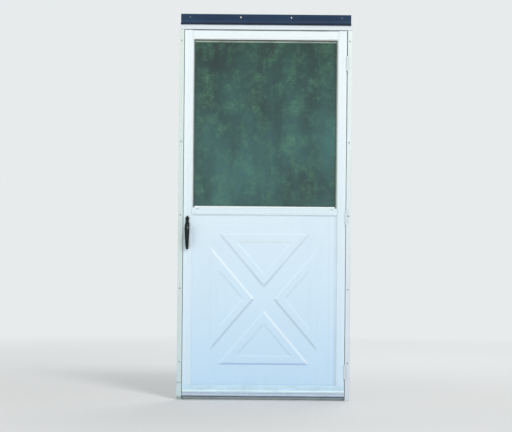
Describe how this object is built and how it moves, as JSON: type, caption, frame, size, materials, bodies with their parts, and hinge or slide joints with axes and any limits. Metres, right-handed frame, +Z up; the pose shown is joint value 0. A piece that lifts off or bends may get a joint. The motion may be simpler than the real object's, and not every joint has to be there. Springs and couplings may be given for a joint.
{
  "type": "crossbuck storm door",
  "caption": "Outward-opening storm door in its metal frame: glazed above, embossed crossbuck panel below, with hinges, pull handle, latch, closer and sweep.",
  "frame": {"origin": "centre of the bounding box in width and depth, at its bottom, which is the foot of the frame", "axes": "+X towards the hinges, seen from outside on the right; +Y into the house; +Z up"},
  "size_m": [0.94, 0.1057, 2.096],
  "materials": {
    "frame_coating": "white powder coat on extruded aluminium",
    "leaf_coating": "white powder coat on aluminium",
    "panel_coating": "white coated pressed aluminium sheet",
    "panel_core": "bare board",
    "insert_coating": "white powder coat",
    "navy_coating": "dark blue coil coating",
    "glass": "clear glass over a dark interior",
    "gasket": "soft grey-green",
    "pile": "grey brush pile",
    "sweep": "dark vinyl",
    "screw": "zinc plated",
    "white_screw": "painted heads",
    "hinge": "white painted steel",
    "handle": "black painted die casting",
    "inside_trim": "black painted",
    "latch_steel": "bright plated",
    "closer_tube": "white painted",
    "closer_rod": "polished"
  },
  "bodies": {
    "surround": {"hinge_rail": "frame_coating", "latch_rail": "frame_coating", "head_rail": "frame_coating", "pile_strips": "pile", "head_flashing": "navy_coating", "flashing_screws": "white_screw", "rail_screws": "white_screw", "strike_plate": "latch_steel", "stop_screws": "screw", "jamb_bracket": "closer_tube", "jamb_pin": "latch_steel", "frame_hinge_screws": "screw", "bottom_frame_hinge_leaf": "hinge", "middle_frame_hinge_leaf": "hinge", "top_frame_hinge_leaf": "hinge", "bottom_hinge_pin": "hinge", "middle_hinge_pin": "hinge", "top_hinge_pin": "hinge"},
    "push_button": {"push_button": "handle"},
    "inside_lever": {"inside_lever": "inside_trim", "cam_spindle": "latch_steel"},
    "latch_bolt": {"latch_bolt": "latch_steel"},
    "lock_snib": {"lock_snib": "inside_trim"},
    "closer_rod": {"closer_rod": "closer_rod", "closer_piston": "latch_steel"},
    "closer_tube": {"closer_tube": "closer_tube", "closer_end_cap": "closer_tube", "closer_eye_pin": "latch_steel"},
    "hold_open_washer": {"hold_open_washer": "latch_steel"},
    "leaf": {"hinge_stile": "leaf_coating", "latch_stile": "leaf_coating", "top_rail": "leaf_coating", "lock_rail": "leaf_coating", "bottom_rail": "leaf_coating", "corner_screws": "screw", "kick_panel_face": "panel_coating", "kick_panel_core": "panel_core", "kick_panel_back": "panel_coating", "panel_retainers": "insert_coating", "insert_left": "insert_coating", "insert_right": "insert_coating", "insert_top": "insert_coating", "insert_bottom": "insert_coating", "insert_retainers": "insert_coating", "glass_pane": "glass", "glazing_gasket": "gasket", "bottom_expander": "leaf_coating", "expander_screws": "white_screw", "bottom_sweep": "sweep", "door_hinge_screws": "screw", "pull_handle": "handle", "latch_screws": "screw", "latch_case": "inside_trim", "lever_spring": "latch_steel", "closer_door_bracket": "closer_tube", "door_bracket_screws": "screw", "bottom_door_hinge_leaf": "hinge", "middle_door_hinge_leaf": "hinge", "top_door_hinge_leaf": "hinge"}
  },
  "joints": [
    {"name": "door_swing", "type": "hinge", "parent": "surround", "child": "leaf", "pos_m": [0.4421, -0.01615, 1], "axis": [0, 0, 1], "range_deg": [0, 90], "stiffness_Nm_per_rad": 4},
    {"name": "closer_turn", "type": "hinge", "parent": "surround", "child": "closer_rod", "pos_m": [0.3871, 0.03885, 1.023], "axis": [0, 0, 1], "range_deg": [0, 90]},
    {"name": "tube_draw", "type": "slide", "parent": "closer_rod", "child": "closer_tube", "axis": [-1, 0, 0], "range_m": [0, 0.11001]},
    {"name": "washer_slide", "type": "slide", "parent": "closer_rod", "child": "hold_open_washer", "axis": [-1, 0, 0], "range_m": [0, 0.025]},
    {"name": "lever_turn", "type": "hinge", "parent": "leaf", "child": "inside_lever", "pos_m": [-0.405, 0.03815, 0.971], "axis": [0, 1, 0], "range_deg": [0, 35], "stiffness_Nm_per_rad": 0.5, "springref_deg": -17.19},
    {"name": "bolt_draw", "type": "slide", "parent": "leaf", "child": "latch_bolt", "axis": [1, 0, 0], "range_m": [0, 0.01101]},
    {"name": "button_push", "type": "slide", "parent": "leaf", "child": "push_button", "axis": [0, 1, 0], "range_m": [0, 0.00501]},
    {"name": "snib_slide", "type": "slide", "parent": "leaf", "child": "lock_snib", "axis": [0, 0, 1], "range_m": [0, 0.007]}
  ],
  "couplings": [
    {"joint": "closer_turn", "follows": "door_swing", "ratio": 1},
    {"joint": "tube_draw", "follows": "door_swing", "m_per_rad": 0.070028},
    {"joint": "bolt_draw", "follows": "lever_turn", "m_per_rad": 0.018007},
    {"joint": "button_push", "follows": "lever_turn", "m_per_rad": 0.008185}
  ]
}
